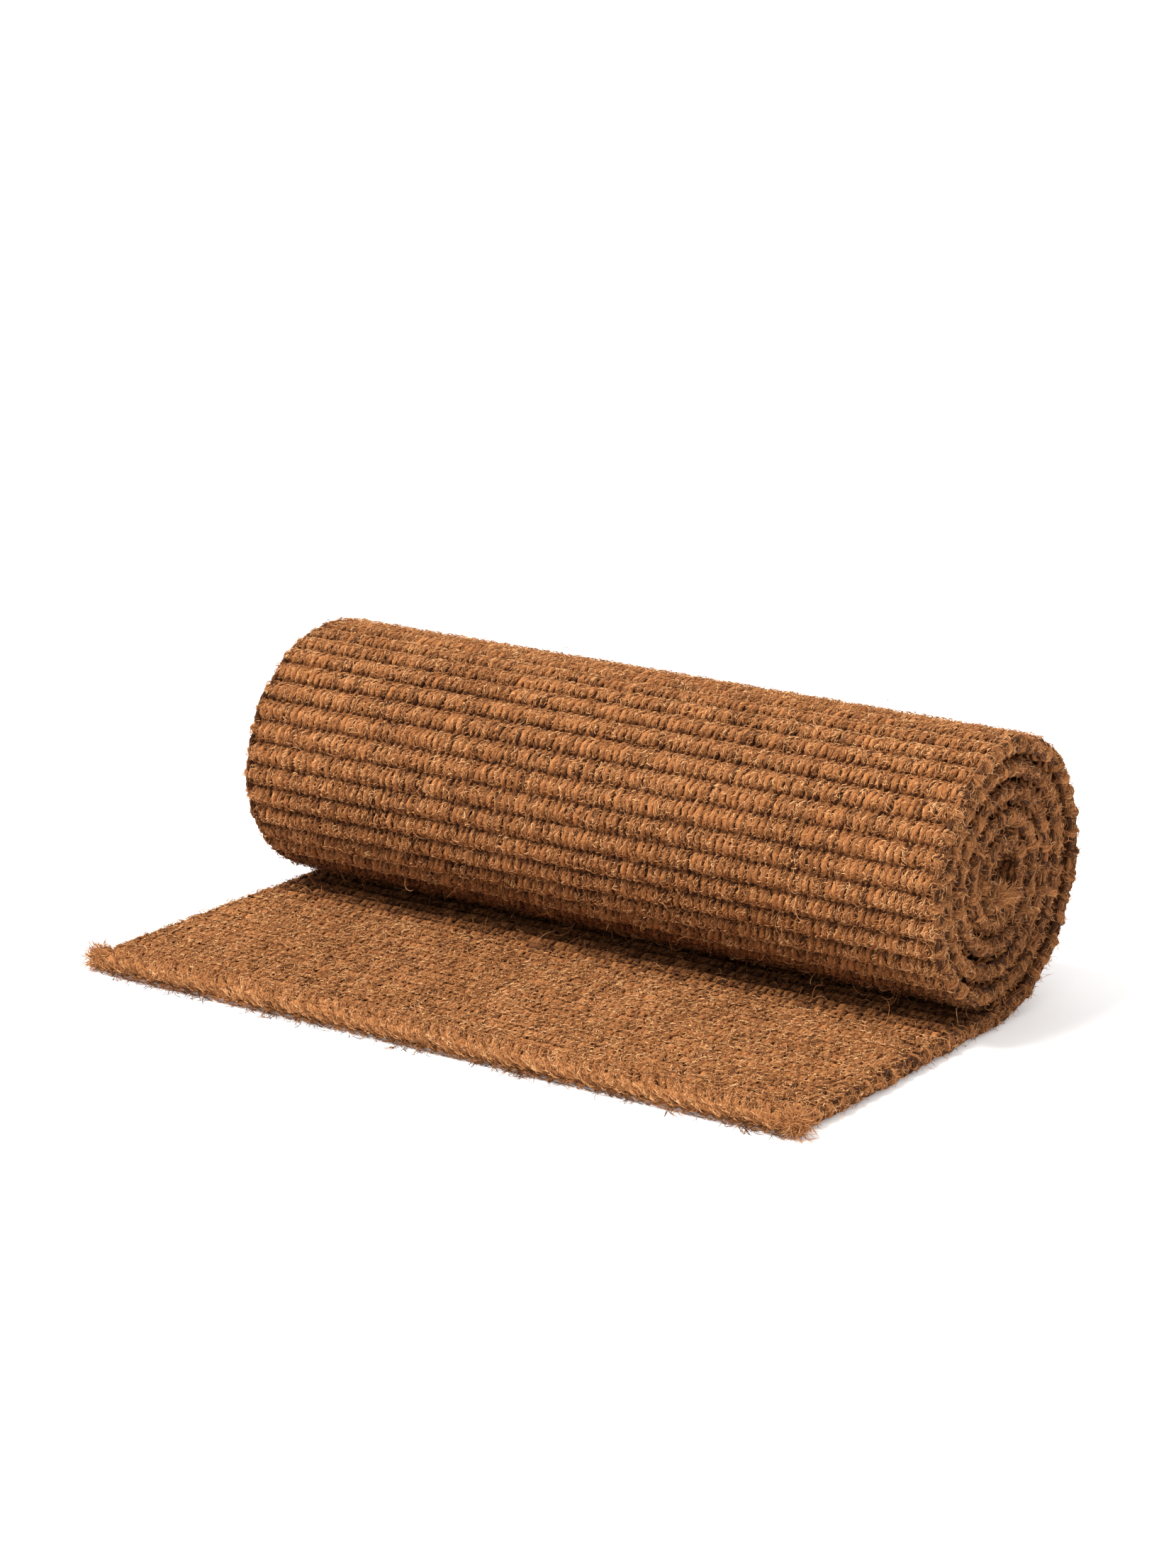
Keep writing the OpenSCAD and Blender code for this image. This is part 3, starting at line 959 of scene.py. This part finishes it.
def inner_plait():
    low, high = (np.array(c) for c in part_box("inner_plait"))
    middle = (low + high) / 2
    soup = Soup()
    rope(soup, middle[1], middle[2], 3.7 * MM, 36 * MM, 1, 3, -0.4, float(high[0]), 120)
    finish_edge(soup, "inner_edge_plait", "inner_plait")


def knot_place(node, side, radius):
    """A knot's middle, its tuft's heading and how far the tuft spreads."""
    low, high = (np.array(c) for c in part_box(node))
    x = (low[0] + high[0]) / 2
    if node.startswith("front"):
        middle = np.array([x, high[1] - radius, low[2] + radius])
        # The left tuft points out along the front edge, the right one forward.
        if side < 0:
            return middle, np.array([-0.97, -0.25, 0.0]), 0.2
        return middle, np.array([0.35, -0.94, 0.0]), 0.45
    plait = sum(np.array(c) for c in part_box("inner_plait")) / 2
    heart = (MIDDLES[COIL_BARED:].min(axis=0) + MIDDLES[COIL_BARED:].max(axis=0)) / 2
    away = unit(np.array([0, *unit(heart - plait[1:])]) + [0.7 * side, 0, 0])
    return np.array([x, plait[1], plait[2]]), away, 0.45


def knot_wraps(soup, middle, side, radius, tone):
    """Strands wound into a ball."""
    thick = radius * 0.27
    shell = radius - thick * 1.1
    wraps = 9
    t = np.linspace(0, 2 * math.pi, 16)
    offset = np.linspace(-0.6, 0.6, wraps)[:, None] * shell
    pole = unit(rng.normal(0, 0.8, (wraps, 3)) + [0.5 * side, 0.2, 0.9])
    a = unit(np.cross(pole, [0.3, 0.9, 0.2]))
    b = np.cross(pole, a)
    ring = np.sqrt(np.maximum(shell ** 2 - offset ** 2, (0.35 * shell) ** 2))
    wrap = np.cos(t)[None, :, None] * a[:, None] + np.sin(t)[None, :, None] * b[:, None]
    paths = middle + (offset * pole)[:, None] + ring[..., None] * wrap
    paths[:, :, 2] = np.maximum(paths[:, :, 2], thick + FLOOR_CLEARANCE)
    for k in range(wraps):
        round_yarns(soup, paths[k:k + 1], pole[k], thick, 6, 6.0, rng.normal(tone, 0.7, 1))


def corner_knot(node, name):
    """Strands wound into a ball, a frayed tuft that leaves it, and curls over both."""
    low, high = (np.array(c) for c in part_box(node))
    side = 1 if low[0] + high[0] > 0 else -1
    radius = float(high[0] - low[0]) / 2
    middle, away, spread = knot_place(node, side, radius)
    soup = Soup()
    # Partly dirt and partly painted shade: the knots inside the roll are coloured darker than those at
    # the front edge
    knot_wraps(soup, middle, side, radius, 0 if node.startswith("front") else -1.4)
    n, reach = 260, 21 * MM
    roots = middle + unit(rng.normal(0, 1, (n, 3))) * radius * 0.6
    heads = away + rng.normal(0, spread, (n, 3))
    fibres(soup, roots, heads, rng.uniform(0.5, 1.0, n) * reach, FIBRE_RADIUS * 1.4,
           rng.uniform(0.3, 3, n), 7, rng.normal(0.6, 1.0, n), np.zeros((n, 3)))
    n = 500
    out = unit(rng.normal(0, 1, (n, 3)))
    fibres(soup, middle + out * radius * 0.94, rng.normal(0, 1, (n, 3)), rng.uniform(4, 9, n) * MM,
           STRAND_RADIUS, rng.uniform(1, 4, n), 5, rng.normal(0.7, 1.1, n), out)
    finish_edge(soup, name, node)


def finish_edge(soup, name, node):
    """The piece of a plait or knot, which stands for a CAD node."""
    piece = soup.object(name, EDGE)
    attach(piece, BODY_OF[node])
    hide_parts(node)


# ---------------------------------------------------------------- setting
def floor():
    """A pale floor that reaches past the picture. Its faint glow keeps it white."""
    size = 60.0
    mesh = bpy.data.meshes.new("floor")
    corners = [(-size, -size, 0), (size, -size, 0), (size, size, 0), (-size, size, 0)]
    mesh.from_pydata(corners, [], [(0, 1, 2, 3)])
    material = bpy.data.materials.new("floor_pale")
    material.use_nodes = True
    shader = material.node_tree.nodes["Principled BSDF"]
    shader.inputs["Base Color"].default_value = (0.97, 0.97, 0.97, 1)
    shader.inputs["Roughness"].default_value = 0.9
    shader.inputs["Specular IOR Level"].default_value = 0.1
    shader.inputs["Emission Color"].default_value = (1, 1, 1, 1)
    shader.inputs["Emission Strength"].default_value = 0.2
    mesh.materials.append(material)
    ground = bpy.data.objects.new("floor", mesh)
    bpy.context.scene.collection.objects.link(ground)


def sun(name, towards, spread_degrees, strength, colour):
    """A soft light that shines from the direction towards."""
    data = bpy.data.lights.new(name, "SUN")
    data.energy = strength
    data.angle = math.radians(spread_degrees)
    data.color = colour
    light = bpy.data.objects.new(name, data)
    light.rotation_euler = Vector(towards).to_track_quat("Z", "Y").to_euler()
    light.location = Vector(towards) * 2
    bpy.context.scene.collection.objects.link(light)


def studio():
    """Even white surroundings, brighter above than at the horizon."""
    world = bpy.data.worlds.new("studio")
    world.use_nodes = True
    nodes, links = world.node_tree.nodes, world.node_tree.links
    place = nodes.new("ShaderNodeTexCoord")
    split = nodes.new("ShaderNodeSeparateXYZ")
    links.new(place.outputs["Generated"], split.inputs["Vector"])
    ramp = nodes.new("ShaderNodeValToRGB")
    ramp.color_ramp.elements[0].position = 0.0
    ramp.color_ramp.elements[0].color = (0.36, 0.36, 0.37, 1)
    ramp.color_ramp.elements[1].position = 0.8
    ramp.color_ramp.elements[1].color = (0.85, 0.85, 0.85, 1)
    links.new(split.outputs["Z"], ramp.inputs["Fac"])
    links.new(ramp.outputs["Color"], nodes["Background"].inputs["Color"])
    nodes["Background"].inputs["Strength"].default_value = 1.3
    bpy.context.scene.world = world


def camera():
    """Looks from the front right, a little above, as from across a room."""
    curl_start = float(VALLEYS[ROLL_START][0])
    yaw, pitch, roll = -0.605, 0.2382, 0.0106
    # In mat widths, from the floor under the start of the curl
    place = Vector((2.5705, -4.1053, 1.5444)) * 2 * HALF_WIDTH + Vector((0, curl_start, 0))
    look = Vector((math.sin(yaw) * math.cos(pitch), math.cos(yaw) * math.cos(pitch), -math.sin(pitch)))
    right = Vector((math.cos(yaw), -math.sin(yaw), 0))
    up = right.cross(look)
    level_right = math.cos(roll) * right + math.sin(roll) * up
    level_up = -math.sin(roll) * right + math.cos(roll) * up
    data = bpy.data.cameras.new("camera")
    data.sensor_width = 36.0
    data.lens = 93.8
    data.shift_x = 0.0755
    data.shift_y = -0.0796
    data.clip_end = 200
    view = bpy.data.objects.new("camera", data)
    turn = Matrix((level_right, level_up, -look)).transposed()
    view.matrix_world = Matrix.Translation(place) @ turn.to_4x4()
    bpy.context.scene.collection.objects.link(view)
    bpy.context.scene.camera = view


camera()
for section in SECTIONS:
    make_section(section)
front_plait()
inner_plait()
for end in ("front", "inner"):
    for hand in ("left", "right"):
        corner_knot(f"{end}_knot_{hand}", f"{end}_corner_knot_{hand}")
floor()
sun("key", (-0.42, -0.58, 1.0), 22, 4.0, (1.0, 0.985, 0.96))
studio()
bpy.context.scene.view_settings.view_transform = "Standard"
